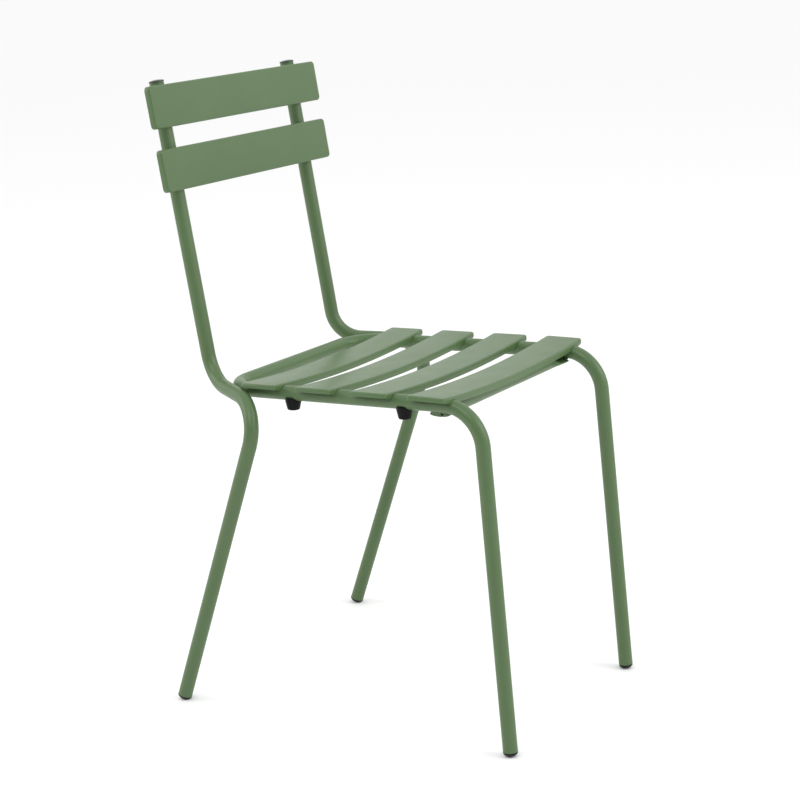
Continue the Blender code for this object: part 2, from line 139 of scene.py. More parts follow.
class Graph:
    """The node tree of one material, or of the world."""

    def __init__(self, owner: Union[bpy.types.Material, bpy.types.World]) -> None:
        """Clears the owner's tree.

        Args:
            owner: The material or the world that the nodes are for.
        """
        self.owner = owner
        owner.use_nodes = True
        self.tree = owner.node_tree
        self.tree.nodes.clear()

    def node(self, kind: str, settings: dict, sockets: dict) -> bpy.types.Node:
        """Adds one node.

        Args:
            kind: The node's type name.
            settings: Attributes that are set before the sockets.
            sockets: Socket names or indices, with a value or a Signal for each.

        Returns:
            The new node.
        """
        made = self.tree.nodes.new(kind)
        for attribute, value in settings.items():
            setattr(made, attribute, value)
        for name, value in sockets.items():
            if isinstance(value, Signal):
                self.tree.links.new(value.socket, made.inputs[name])
            else:
                made.inputs[name].default_value = value
        return made

    def signal(self, kind: str, output: Union[str, int], settings: dict, sockets: dict) -> Signal:
        """Adds one node and returns that output of it."""
        return Signal(self, self.node(kind, settings, sockets).outputs[output])

    def math(self, operation: str, first: Value, second: Value) -> Signal:
        """Adds a Math node for two values."""
        settings = {"operation": operation}
        return self.signal("ShaderNodeMath", "Value", settings, {0: first, 1: second})

    def place(self) -> Signal:
        """The point's place on the object."""
        return self.signal("ShaderNodeTexCoord", "Object", {}, {})

    def noise(self, size: float, detail: float, roughness: float = 0.5) -> Signal:
        """Cloudy noise about 0.5.

        Args:
            size: The width of its largest spots.
            detail: How many finer layers it holds.
            roughness: How strong the finer layers are.

        Returns:
            The noise, from 0 to 1.
        """
        sockets = {
            "Vector": self.place(), "Scale": 1 / size, "Detail": detail, "Roughness": roughness,
        }
        return self.signal("ShaderNodeTexNoise", "Fac", {"noise_dimensions": "3D"}, sockets)

    def ramp(self, source: Signal, low: float, high: float) -> Signal:
        """The source stretched so that low gives 0 and high gives 1, clamped."""
        sockets = {"Value": source, "From Min": low, "From Max": high}
        return self.signal("ShaderNodeMapRange", "Result", {"clamp": True}, sockets)

    def mix_colours(self, share: Value, first: tuple, second: tuple) -> Signal:
        """A blend of two colours."""
        sockets = {
            ColourMix.SHARE: share, ColourMix.FIRST: (*first, 1), ColourMix.SECOND: (*second, 1),
        }
        return self.signal("ShaderNodeMix", ColourMix.RESULT, {"data_type": "RGBA"}, sockets)

    def bump(self, height: Signal, depth: float, strength: float) -> Signal:
        """A normal from a height.

        Args:
            height: The height, from 0 to 1.
            depth: How deep 1 is.
            strength: How much of it shows.

        Returns:
            The normal.
        """
        sockets = {"Height": height, "Distance": depth, "Strength": strength}
        return self.signal("ShaderNodeBump", "Normal", {}, sockets)

    def finish(self, sockets: dict) -> bpy.types.Material:
        """Adds the surface shader and the output.

        Args:
            sockets: The surface shader's values and links.

        Returns:
            The finished material.
        """
        shader = self.signal("ShaderNodeBsdfPrincipled", "BSDF", {}, sockets)
        self.node("ShaderNodeOutputMaterial", {}, {"Surface": shader})
        return self.owner


# ---- Finishes ----


@dataclass(frozen=True)
class PowderCoat:
    """Satin powder coat: a fine orange peel, a faint cloudiness and slightly uneven gloss."""

    name: str = "sage_powder_coat"
    base: tuple = (0.066, 0.124, 0.042)
    cloud: tuple = (0.071, 0.131, 0.046)
    cloud_size: float = 0.09
    cloud_range: tuple = (0.35, 0.65)
    gloss: float = 0.40
    uneven_size: float = 0.03
    uneven_gloss: float = 0.10
    peel_size: float = 0.0022
    peel_depth: float = 0.00006
    peel_strength: float = 0.6
    peel_gloss: float = 0.08
    grain_size: float = 0.0006
    grain_share: float = 0.3
    refraction: float = 1.5

    def material(self) -> bpy.types.Material:
        """Builds the node material."""
        graph = Graph(bpy.data.materials.new(self.name))
        clouds = graph.ramp(graph.noise(self.cloud_size, detail=3.0), *self.cloud_range)
        uneven = graph.noise(self.uneven_size, detail=2.0).swing(self.uneven_gloss)
        peel = graph.noise(self.peel_size, detail=2.0, roughness=0.4)
        grain = graph.noise(self.grain_size, detail=1.0)
        height = peel * (1 - self.grain_share) + grain * self.grain_share
        return graph.finish({
            "Base Color": graph.mix_colours(clouds, self.base, self.cloud),
            "Roughness": uneven + peel.swing(self.peel_gloss) + self.gloss,
            "Normal": graph.bump(height, self.peel_depth, self.peel_strength),
            "IOR": self.refraction,
        })


@dataclass(frozen=True)
class Moulded:
    """Moulded plastic or rubber: a fine grain from its mould, and patches of scuff or bloom."""

    name: str
    base: tuple
    patch: tuple
    gloss: float
    shine: float
    grain_size: float = 0.0005
    grain_depth: float = 0.00004
    grain_strength: float = 0.5
    grain_gloss: float = 0.15
    patch_size: float = 0.007
    patch_detail: float = 4.0
    patch_roughness: float = 0.7
    patch_range: tuple = (0.45, 0.75)
    patch_gloss: float = 0.08

    def material(self) -> bpy.types.Material:
        """Builds the node material."""
        graph = Graph(bpy.data.materials.new(self.name))
        grain = graph.noise(self.grain_size, detail=3.0, roughness=0.6)
        clouds = graph.noise(self.patch_size, self.patch_detail, self.patch_roughness)
        patches = graph.ramp(clouds, *self.patch_range)
        return graph.finish({
            "Base Color": graph.mix_colours(patches, self.base, self.patch),
            "Roughness": grain.swing(self.grain_gloss) + patches * self.patch_gloss + self.gloss,
            "Normal": graph.bump(grain, self.grain_depth, self.grain_strength),
            "Specular IOR Level": self.shine,
        })


class Finishes:
    """The chair's materials, one for each slot."""

    def __init__(self) -> None:
        """Builds every material once."""
        finishes = {
            Slot.PAINT: PowderCoat(),
            Slot.FOOT: Moulded(
                "foot_black_plastic", base=(0.004, 0.0042, 0.0045), patch=(0.009, 0.0093, 0.0096),
                gloss=0.34, shine=0.20,
            ),
            Slot.POST_CAP: Moulded(
                "post_cap_dark_plastic", base=(0.040, 0.058, 0.034), patch=(0.055, 0.078, 0.046),
                gloss=0.36, shine=0.45,
            ),
            Slot.BUMPER: Moulded(
                "bumper_black_rubber", base=(0.003, 0.003, 0.0034), patch=(0.007, 0.007, 0.0076),
                gloss=0.40, shine=0.12, grain_size=0.0007, grain_depth=0.00005, grain_gloss=0.12,
                patch_size=0.0063, patch_detail=3.0, patch_roughness=0.5, patch_range=(0.4, 0.8),
                patch_gloss=0.12,
            ),
        }
        self.by_slot = {slot: finish.material() for slot, finish in finishes.items()}

    def dress(self, piece: Piece, slot: Slot) -> None:
        """Gives the piece its slot's material, alone."""
        piece.data.materials.clear()
        piece.data.materials.append(self.by_slot[slot])


# ---- Modelling by hand ----


class Bench:
    """Edit-mode steps that work on one piece at a time."""

    @staticmethod
    def clear_selection() -> None:
        """Leaves nothing selected, in object mode."""
        if bpy.context.object is not None and bpy.context.object.mode != "OBJECT":
            bpy.ops.object.mode_set(mode="OBJECT")
        bpy.ops.object.select_all(action="DESELECT")

    @classmethod
    def take(cls, piece: Piece) -> None:
        """Selects this piece alone and makes it active."""
        cls.clear_selection()
        piece.select_set(True)
        bpy.context.view_layer.objects.active = piece

    @classmethod
    def settle(cls, piece: Piece) -> None:
        """Moves the piece's place, turn and scale into its mesh."""
        cls.take(piece)
        bpy.ops.object.transform_apply(location=True, rotation=True, scale=True)

    @classmethod
    def set_down(cls, piece: Piece, place: Iterable[float], turn: float) -> None:
        """Puts the piece in its place, turned about X, and settles it there."""
        piece.location = place
        piece.rotation_euler.x = turn
        cls.settle(piece)

    @classmethod
    def apply(cls, piece: Piece, kind: str, **settings: object) -> None:
        """Adds a modifier and applies it.

        Args:
            piece: The piece to change.
            kind: The modifier's type.
            settings: The modifier's attributes.
        """
        cls.take(piece)
        modifier = piece.modifiers.new(kind.title(), kind)
        for attribute, value in settings.items():
            setattr(modifier, attribute, value)
        bpy.ops.object.modifier_apply(modifier=modifier.name)

    @classmethod
    def edit(cls, piece: Piece, selected: bool) -> None:
        """Opens the piece in edit mode with all of it selected, or none."""
        cls.take(piece)
        bpy.ops.object.mode_set(mode="EDIT")
        bpy.ops.mesh.select_mode(type="VERT")
        bpy.ops.mesh.select_all(action="SELECT" if selected else "DESELECT")

    @staticmethod
    def pick(piece: Piece, kind: str, wanted: Callable) -> None:
        """Selects the edges or the faces that pass a test, and nothing else.

        Args:
            piece: The piece, open in edit mode.
            kind: EDGE or FACE.
            wanted: Says of one edge or face whether it is wanted.
        """
        bpy.ops.mesh.select_mode(type=kind)
        bpy.ops.mesh.select_all(action="DESELECT")
        work = bmesh.from_edit_mesh(piece.data)
        for part in work.edges if kind == "EDGE" else work.faces:
            part.select_set(wanted(part))
        bmesh.update_edit_mesh(piece.data)

    @classmethod
    def outward(cls, piece: Piece) -> None:
        """Merges doubles and turns every face outwards."""
        cls.edit(piece, True)
        bpy.ops.mesh.remove_doubles(threshold=HAIR)
        bpy.ops.mesh.normals_make_consistent(inside=False)
        bpy.ops.object.mode_set(mode="OBJECT")

    @classmethod
    def smooth(cls, piece: Piece) -> None:
        """Shades the piece smooth between its sharp edges."""
        cls.take(piece)
        bpy.ops.object.shade_smooth_by_angle(angle=CREASE)

    @classmethod
    def cut_away(cls, piece: Piece, cutters: Iterable[Piece]) -> None:
        """Takes each cutter's solid out of the piece."""
        for cutter in cutters:
            cls.apply(piece, "BOOLEAN", operation="DIFFERENCE", solver="EXACT", object=cutter)

    @classmethod
    def join(cls, name: str, pieces: list) -> Piece:
        """Joins the pieces into one object of that name."""
        cls.take(pieces[0])
        for piece in pieces:
            piece.select_set(True)
        bpy.ops.object.join()
        pieces[0].name = name
        return pieces[0]

    @staticmethod
    def discard(pieces: Iterable[Piece]) -> None:
        """Removes helper objects from the scene."""
        for piece in pieces:
            bpy.data.objects.remove(piece, do_unlink=True)


class RingRun:
    """A surface grown ring by ring from one circle, as a tube is drawn out and bent by hand."""

    def __init__(self, name: str, place: Vector, along: Vector, radius: float, sides: int) -> None:
        """Adds the first circle and opens it in edit mode.

        Args:
            name: The piece's name.
            place: The circle's centre.
            along: The direction that the circle faces.
            radius: Its radius.
            sides: How many sides it has.
        """
        Bench.clear_selection()
        bpy.ops.mesh.primitive_circle_add(
            vertices=sides, radius=radius, location=place,
            rotation=along.to_track_quat("Z", "Y").to_euler(),
        )
        self.piece = bpy.context.object
        self.piece.name = name
        Bench.settle(self.piece)
        Bench.edit(self.piece, True)

    def draw_out(self, travel: Vector) -> None:
        """Extrudes the last ring along a straight."""
        bpy.ops.mesh.extrude_region_move(TRANSFORM_OT_translate={"value": travel})

    def bend(self, turn: float, centre: Vector, axis: Vector, steps: int) -> None:
        """Spins the last ring round an axis, by the right-hand rule."""
        bpy.ops.mesh.spin(steps=steps, angle=-turn, center=centre, axis=axis)

    def resize(self, factors: tuple, centre: Vector) -> None:
        """Scales the last ring about a point."""
        bpy.ops.transform.resize(value=factors, center_override=centre)

    def shut(self) -> None:
        """Fills every open end."""
        bpy.ops.mesh.select_all(action="SELECT")
        bpy.ops.mesh.fill_holes(sides=0)

    def done(self) -> Piece:
        """Closes edit mode with the faces outward, and returns the piece."""
        Bench.outward(self.piece)
        return self.piece


@dataclass
class TubeRoute:
    """A bent tube's centre line: the corners that its straights run to, and the bends at them."""

    corners: list
    radii: list
    bend_step: float = math.radians(3.75)

    def grow(self, name: str, radius: float, sides: int) -> RingRun:
        """Draws a sleeve along the route.

        Args:
            name: The piece's name.
            radius: The sleeve's radius.
            sides: How many sides it has.

        Returns:
            The run, still in edit mode, with its last ring at the route's end.
        """
        here = self.corners[0]
        run = RingRun(name, here, self.corners[1] - here, radius, sides)
        bends = zip(self.corners, self.corners[1:], self.corners[2:], self.radii)
        for before, corner, after, radius in bends:
            back = (before - corner).normalized()
            ahead = (after - corner).normalized()
            turn = math.pi - back.angle(ahead)
            run.draw_out(corner + back * radius * math.tan(turn / 2) - here)
            centre = corner + (back + ahead).normalized() * radius / math.cos(turn / 2)
            run.bend(turn, centre, ahead.cross(back), max(2, round(turn / self.bend_step)))
            here = corner + ahead * radius * math.tan(turn / 2)
        run.draw_out(self.corners[-1] - here)
        return run

    def solid(self, name: str, radius: float, sides: int) -> Piece:
        """A closed rod along the route."""
        run = self.grow(name, radius, sides)
        run.shut()
        return run.done()


@dataclass
class TurnedPiece:
    """A piece turned round +Z from a profile of (radius, height) pairs, first to last."""

    name: str
    profile: list
    sides: int = 64

    def build(self) -> Piece:
        """Grows the rings of the profile and closes both ends."""
        radius, height = self.profile[0]
        run = RingRun(self.name, Vector((0, 0, height)), Vector((0, 0, 1)), radius, self.sides)
        for next_radius, next_height in self.profile[1:]:
            run.draw_out(Vector((0, 0, next_height - height)))
            share = next_radius / radius
            run.resize((share, share, 1), Vector((0, 0, next_height)))
            radius, height = next_radius, next_height
        run.shut()
        return run.done()


def arc_points(centre: tuple, radius: float, start: float, end: float, steps: int) -> list:
    """Points of an arc as (radius, height) pairs.

    Args:
        centre: The arc's centre as (radius, height).
        radius: The arc's own radius.
        start: Its first angle, from the turning axis's +Z.
        end: Its last angle.
        steps: How many steps it takes.

    Returns:
        The points, both ends included.
    """
    angles = [start + (end - start) * step / steps for step in range(steps + 1)]
    return [(centre[0] + radius * math.sin(a), centre[1] + radius * math.cos(a)) for a in angles]


def ease(share: float) -> float:
    """A share from 0 to 1 that starts and ends gently."""
    return share * share * (3 - 2 * share)


def stand(piece: Piece, place: Vector, up: Vector) -> None:
    """Stands a turned piece on a place with its own +Z along up, and settles it."""
    piece.rotation_euler = up.to_track_quat("Z", "Y").to_euler()
    piece.location = place
    Bench.settle(piece)


# ---- The chair's layout ----


@dataclass
class Layout:
    """Centre lines of the chair's tubes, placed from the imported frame's bumpers and caps."""

    tube_radius: float = 0.0095
    tube_wall: float = 0.0015
    tube_sides: int = 48
    front_bumper_setback: float = 0.14525  # behind the front feet's axes
    hoop_depth: float = 0.421  # front feet's axes to the rear rail's
    front_leg_rake: float = math.radians(5.0)
    front_bend_radius: float = 0.053
    hoop_corner_radius: float = 0.050
    post_rake: float = math.radians(9.8)
    sweep_heading: float = math.radians(28.5)
    sweep_fall: float = math.radians(3.0)
    sweep_bend_radius: float = 0.045
    rear_leg_rake: float = math.radians(19.3)
    bumper_reach: float = 0.0212  # from a rail's axis down to a bumper's foot
    foot_dome_radius: float = 0.0115
    foot_flat_depth: float = 0.0006
    foot_collar: float = 0.0015

    def __post_init__(self) -> None:
        """Reads the spans, the heights and the seat's tilt from the frame's boxes."""
        front_low, front_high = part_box("bumper_front_left")
        rear_low, rear_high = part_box("bumper_rear_left")
        anchor = (front_low + front_high) / 2
        run = (rear_low + rear_high).y / 2 - anchor.y
        self.seat_tilt = math.atan2(front_low.z - rear_low.z, run)
        self.rail_half_span = anchor.x
        self.front_y = anchor.y - self.front_bumper_setback
        self.front_rail_height = (
            front_low.z + self.bumper_reach + math.tan(self.seat_tilt) * self.front_bumper_setback
        )
        self.front_foot_half_span = self.middle_x("foot_cap_front_left")
        self.rear_leg_half_span = self.middle_x("foot_cap_rear_left")
        self.post_half_span = self.middle_x("post_cap_left")
        post_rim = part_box("rear_frame_left")[1].z
        self.post_top_height = post_rim - self.tube_radius * math.sin(self.post_rake)

    @staticmethod
    def middle_x(node: str) -> float:
        """The X of the middle of a node's box."""
        low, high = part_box(node)
        return (low.x + high.x) / 2

    def rail_height(self, y: float) -> float:
        """Height of the side rails' axes at this depth."""
        return self.front_rail_height - math.tan(self.seat_tilt) * (y - self.front_y)

    def rail_point(self, side: Side, y: float) -> Vector:
        """The point of a side rail's axis at this depth."""
        return Vector((side.value * self.rail_half_span, y, self.rail_height(y)))

    @property
    def rail_direction(self) -> Vector:
        """Along a side rail, towards the back."""
        return Vector((0, math.cos(self.seat_tilt), -math.sin(self.seat_tilt)))

    @property
    def seat_normal(self) -> Vector:
        """Square to the rails, upwards."""
        return Vector((0, math.sin(self.seat_tilt), math.cos(self.seat_tilt)))

    @property
    def post_direction(self) -> Vector:
        """Up along a post."""
        return Vector((0, math.sin(self.post_rake), math.cos(self.post_rake)))

    @property
    def post_front(self) -> Vector:
        """Square to the posts, towards the sitter's back."""
        return Vector((0, -math.cos(self.post_rake), math.sin(self.post_rake)))

    def hoop_corners(self) -> list:
        """Left front foot, round the seat, to the right front foot."""
        slope = math.tan(self.front_leg_rake)
        top = self.front_rail_height / (1 + math.tan(self.seat_tilt) * slope)
        rear_y = self.front_y + self.hoop_depth
        half = [
            Vector((self.front_foot_half_span, self.front_y, 0)),
            Vector((self.rail_half_span, self.front_y + slope * top, top)),
            Vector((self.rail_half_span, rear_y, self.rail_height(rear_y))),
        ]
        return half + [Vector((-p.x, p.y, p.z)) for p in reversed(half)]

    def sweep_touch(self, side: Side) -> Vector:
        """Where a rear frame's sweep passes the hoop's rear corner, on the sweep's axis."""
        outward, forward = math.sin(self.sweep_heading), math.cos(self.sweep_heading)
        reach = self.hoop_corner_radius + 2 * self.tube_radius + FIT_GAP
        y = self.front_y + self.hoop_depth - self.hoop_corner_radius + outward * reach
        x = self.rail_half_span - self.hoop_corner_radius + forward * reach
        return Vector((side.value * x, y, self.rail_height(y)))

    def sweep_run(self, side: Side) -> Vector:
        """Along a sweep, outwards and forwards."""
        outward, forward = math.sin(self.sweep_heading), math.cos(self.sweep_heading)
        return Vector((side.value * outward, -forward, -math.tan(self.sweep_fall)))

    def rear_corners(self, side: Side) -> list:
        """A rear foot, the two bends of its sweep, and the post's top."""
        touch, run = self.sweep_touch(side), self.sweep_run(side)
        low = touch + run * (side.value * self.rear_leg_half_span - touch.x) / run.x
        high = touch + run * (side.value * self.post_half_span - touch.x) / run.x
        foot = Vector((low.x, low.y + math.tan(self.rear_leg_rake) * low.z, 0))
        rise = self.post_top_height - high.z
        top = high + Vector((0, math.tan(self.post_rake), 1)) * rise
        return [foot, low, high, top]

    def leg_end(self, foot: Vector, knee: Vector) -> tuple:
        """Where a leg's tube ends above its cap.

        Args:
            foot: Where the leg's axis meets the floor.
            knee: The first corner above it.

        Returns:
            The tube's end, and the direction up the leg.
        """
        up = (knee - foot).normalized()
        centre = foot + up * (self.foot_dome_radius - self.foot_flat_depth) / up.z
        drop = math.sqrt(self.foot_dome_radius**2 - self.tube_radius**2)
        return centre - up * (drop - self.foot_collar - FIT_GAP), up

    def hoop_route(self) -> TubeRoute:
        """The hoop's centre line, cut back for its foot caps."""
        corners = self.hoop_corners()
        corners[0] = self.leg_end(corners[0], corners[1])[0]
        corners[-1] = self.leg_end(corners[-1], corners[-2])[0]
        radii = [self.front_bend_radius, self.hoop_corner_radius]
        return TubeRoute(corners, radii + radii[::-1])

    def rear_route(self, side: Side) -> TubeRoute:
        """A rear frame's centre line, cut back for its foot cap."""
        corners = self.rear_corners(side)
        corners[0] = self.leg_end(corners[0], corners[1])[0]
        return TubeRoute(corners, [self.sweep_bend_radius] * 2)


# ---- Sub-assemblies ----


@dataclass
class Assembly:
    """Pieces that are built together and handed over to the frame."""

    layout: Layout
    finishes: Finishes

    def hand_over(self, piece: Piece, slot: Slot, node: Optional[str]) -> None:
        """Dresses a finished piece and makes it ride on the frame.

        Args:
            piece: The piece, at rest in its place.
            slot: Its material slot.
            node: The CAD node that it stands for, or None.
        """
        Bench.smooth(piece)
        self.finishes.dress(piece, slot)
        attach(piece, ROOT_BODY)
        if node is not None:
            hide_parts(node)
        log.info("%s: %d faces", piece.name, len(piece.data.polygons))


@dataclass
class TubeFrame(Assembly):
    """The bent tubes: the seat hoop with the front legs, and the two rear frames."""

    def sleeve(self, name: str, route: TubeRoute, node: str) -> None:
        """A hollow tube along a route."""
        layout = self.layout
        tube = route.grow(name, layout.tube_radius, layout.tube_sides).done()
        Bench.apply(tube, "SOLIDIFY", thickness=layout.tube_wall, offset=-1, use_even_offset=True)
        self.hand_over(tube, Slot.PAINT, node)

    def build(self) -> None:
        """Builds the three tubes."""
        self.sleeve("hoop_tube", self.layout.hoop_route(), "seat_hoop")
        for side in Side:
            self.sleeve(
                f"rear_tube_{side.label}", self.layout.rear_route(side), f"rear_frame_{side.label}"
            )

    def clearances(self) -> list:
        """Rods a fit gap larger than the tubes, the hoop's first, to notch other pieces with."""
        layout = self.layout
        radius = layout.tube_radius + FIT_GAP
        routes = [layout.hoop_route()] + [layout.rear_route(side) for side in Side]
        return [route.solid("clearance", radius, layout.tube_sides) for route in routes]


@dataclass
class PressedSlat:
    """A shallow sheet tray along X, its face up and its ends' face at Z = 0."""

    name: str
    length: float
    width: float
    end_depth: float = WALL_DEPTH
    end_blend: float = 0.0145
    corner_radius: float = 0.0055
    corner_steps: int = 8
    fold_radius: float = 0.0024
    fold_steps: int = 5
    rim_radius: float = 0.0004
    rim_steps: int = 2
    rim_crease: float = math.radians(60)
    stations: int = 30

    def build(self, sag: float) -> Piece:
        """Presses the tray.

        Args:
            sag: How far its middle lies below its ends.

        Returns:
            The tray, with its turned-down walls and its thickness.
        """
        Bench.clear_selection()
        bpy.ops.mesh.primitive_cube_add(
            size=1, location=(0, 0, -WALL_DEPTH / 2), scale=(self.length, self.width, WALL_DEPTH)
        )
        tray = bpy.context.object
        tray.name = self.name
        Bench.settle(tray)
        Bench.edit(tray, False)
        Bench.pick(tray, "EDGE", self.is_upright)
        bpy.ops.mesh.bevel(offset=self.corner_radius, segments=self.corner_steps, affect="EDGES")
        Bench.pick(tray, "FACE", lambda face: max(v.co.z for v in face.verts) < -FIT_GAP)
        bpy.ops.mesh.delete(type="ONLY_FACE")
        Bench.pick(tray, "EDGE", lambda edge: min(v.co.z for v in edge.verts) > -FIT_GAP)
        bpy.ops.mesh.bevel(offset=self.fold_radius, segments=self.fold_steps, affect="EDGES")
        straight = self.length - 2 * self.corner_radius
        for station in range(1, self.stations):
            bpy.ops.mesh.select_all(action="SELECT")
            place = (station / self.stations - 0.5) * straight
            bpy.ops.mesh.bisect(plane_co=(place, 0, 0), plane_no=(1, 0, 0))
        bpy.ops.object.mode_set(mode="OBJECT")
        self.trim_ends(tray)
        if sag:
            self.dish(tray, sag)
        Bench.outward(tray)
        Bench.apply(tray, "SOLIDIFY", thickness=SHEET, offset=-1, use_even_offset=True)
        Bench.apply(
            tray, "BEVEL", width=self.rim_radius, segments=self.rim_steps,
            limit_method="ANGLE", angle_limit=self.rim_crease,
        )
        return tray

    @staticmethod
    def is_upright(edge: bmesh.types.BMEdge) -> bool:
        """Whether the edge stands up."""
        return abs(edge.verts[0].co.z - edge.verts[1].co.z) > FIT_GAP

    def trim_ends(self, tray: Piece) -> None:
        """Raises the lower edge of the turned-down ends, blending it in along the corners."""
        for vert in tray.data.vertices:
            share = (abs(vert.co.x) - self.length / 2) / self.end_blend + 1
            if vert.co.z < -WALL_DEPTH / 2 and share > 0:
                vert.co.z += (WALL_DEPTH - self.end_depth) * ease(share)

    def dish(self, tray: Piece, sag: float) -> None:
        """Bends the tray to an arc, its ends staying at Z = 0.

        Args:
            tray: The flat tray.
            sag: How far the middle sinks.
        """
        turn = 8 * sag / self.length  # of a flat arc with this rise over this length
        Bench.set_down(tray, (0, 0, 0), -math.pi / 2)
        Bench.apply(tray, "SIMPLE_DEFORM", deform_method="BEND", deform_axis="Z", angle=turn)
        Bench.set_down(tray, (0, 0, -sag), math.pi / 2)


@dataclass
class Seat(Assembly):
    """The dished slats."""

    count: int = 4
    overhang: float = 0.024  # of a slat past the rails' axes
    width: float = 0.0538
    pitch: float = 0.0837
    first_middle: float = 0.1019  # behind the front feet's axes
    sag: float = 0.0085
    lift: float = 0.0003  # of the sheet above its fit on the rails
    end_depth: float = 0.006
    front_tilt: float = math.radians(1.4)

    @property
    def length(self) -> float:
        """A slat's length."""
        return 2 * (self.layout.rail_half_span + self.overhang)

    def face_rise(self) -> float:
        """Height of the slats' end faces above the rails' axes, square to the rails."""
        past_rail = self.sag * (1 - (2 * self.layout.rail_half_span / self.length) ** 2)
        return self.layout.tube_radius + FIT_GAP + SHEET + self.lift + past_rail

    def middle_y(self, index: int) -> float:
        """Depth of a slat's middle."""
        return self.layout.front_y + self.first_middle + self.pitch * index

    def build(self, clearances: list) -> None:
        """Presses the slats and notches them over the tubes."""
        tilt = self.layout.seat_tilt
        rise = self.face_rise() / math.cos(tilt)
        for index in range(self.count):
            name = f"seat_slat_face_{index + 1}"
            slat = PressedSlat(name, self.length, self.width, self.end_depth).build(self.sag)
            y = self.middle_y(index)
            place = (0, y, self.layout.rail_height(y) + rise)
            Bench.set_down(slat, place, -tilt if index else -self.front_tilt)
            Bench.cut_away(slat, clearances if index == self.count - 1 else clearances[:1])
            self.hand_over(slat, Slot.PAINT, f"seat_slat_{index + 1}")


@dataclass
class CrossTube(Assembly):
    """The straight tube that joins the rails in front, its ends pressed flat under them."""

    setback: float = 0.0965  # behind the front feet's axes
    inset: float = 0.0025  # of its ends inside the rails' axes
    drop: float = 0.0095  # of its axis below the rails' axes
    flat_width: float = 0.0285
    flat_thickness: float = 0.0066
    flat_length: float = 0.015
    shoulder: float = 0.026
    shoulder_rings: int = 10
    hole_width: float = 0.0048  # left where the pressed end is not quite shut
    hole_height_share: float = 0.62
    hole_inset: float = 0.00075
    hole_depth: float = 0.006
    hole_forward: float = 0.0038  # of the pressed end's middle

    def build(self, hoop_clearance: Piece) -> None:
        """Draws the tube out from end to end.

        Args:
            hoop_clearance: The rod that its ends are coped to.
        """
        layout = self.layout
        radius = layout.tube_radius
        reach = layout.rail_half_span - self.inset
        flat_start = reach - self.flat_length
        step = self.shoulder / self.shoulder_rings
        rings = [reach] + [flat_start - step * n for n in range(self.shoulder_rings + 1)]
        stations = [-x for x in rings] + rings[::-1]
        run = RingRun(
            "cross_tube", Vector((-reach, 0, 0)), Vector((1, 0, 0)), radius, layout.tube_sides
        )
        for here, ahead in zip(stations, stations[1:]):
            run.draw_out(Vector((ahead - here, 0, 0)))
        tube = run.done()
        flat_half = self.flat_thickness / 2
        flat_middle = self.drop - radius - FIT_GAP - flat_half
        for vert in tube.data.vertices:
            share = self.pressed_share(abs(vert.co.x), flat_start)
            flat = Vector((
                vert.co.x, vert.co.y / radius * self.flat_width / 2,
                flat_middle + flat_half * vert.co.z / radius,
            ))
            vert.co = vert.co.lerp(flat, share)
        self.close_ends(tube, reach, flat_middle)
        y = layout.front_y + self.setback
        z = layout.rail_height(y) - self.drop / math.cos(layout.seat_tilt)
        Bench.set_down(tube, (0, y, z), -layout.seat_tilt)
        Bench.cut_away(tube, [hoop_clearance])
        self.hand_over(tube, Slot.PAINT, "front_cross_tube")

    def pressed_share(self, x: float, flat_start: float) -> float:
        """How far the tube is pressed flat at this distance from the middle, from 0 to 1."""
        return ease(min(1, max(0, (x - flat_start + self.shoulder) / self.shoulder)))

    def close_ends(self, tube: Piece, reach: float, middle_z: float) -> None:
        """Shuts each pressed end but for a small blind hole.

        Args:
            tube: The open tube along X.
            reach: Distance of its ends from the middle.
            middle_z: Height of the pressed ends' middle.
        """
        Bench.edit(tube, True)
        bpy.ops.mesh.fill_holes(sides=0)
        for sign in (-1, 1):
            end = sign * reach
            Bench.pick(
                tube, "FACE", lambda face: all(abs(v.co.x - end) < FIT_GAP for v in face.verts)
            )
            bpy.ops.mesh.inset(thickness=self.hole_inset, depth=0)
            bpy.ops.transform.resize(
                value=(1, self.hole_width / self.flat_width, self.hole_height_share),
                center_override=(end, -self.hole_forward, middle_z),
            )
            bpy.ops.mesh.extrude_region_move(
                TRANSFORM_OT_translate={"value": (-sign * self.hole_depth, 0, 0)}
            )
        Bench.outward(tube)


@dataclass
class Back(Assembly):
    """The two flat slats on the front of the posts."""

    overhang: float = 0.0395  # past the posts' axes
    width: float = 0.0548
    gap: float = 0.0266
    top_inset: float = 0.0035
    words: tuple = ("upper", "lower")

    def middle(self, index: int) -> Vector:
        """The middle of a slat's face, counted from the top."""
        layout = self.layout
        top = Vector((0, layout.rear_corners(Side.LEFT)[-1].y, layout.post_top_height))
        down = self.top_inset + self.width / 2 + (self.width + self.gap) * index
        out = layout.tube_radius + FIT_GAP + WALL_DEPTH
        return top - layout.post_direction * down + layout.post_front * out

    def build(self) -> None:
        """Presses both slats."""
        length = 2 * (self.layout.post_half_span + self.overhang)
        for index, word in enumerate(self.words):
            slat = PressedSlat(f"back_slat_face_{word}", length, self.width).build(0)
            Bench.set_down(slat, self.middle(index), math.pi / 2 - self.layout.post_rake)
            self.hand_over(slat, Slot.PAINT, f"back_slat_{word}")


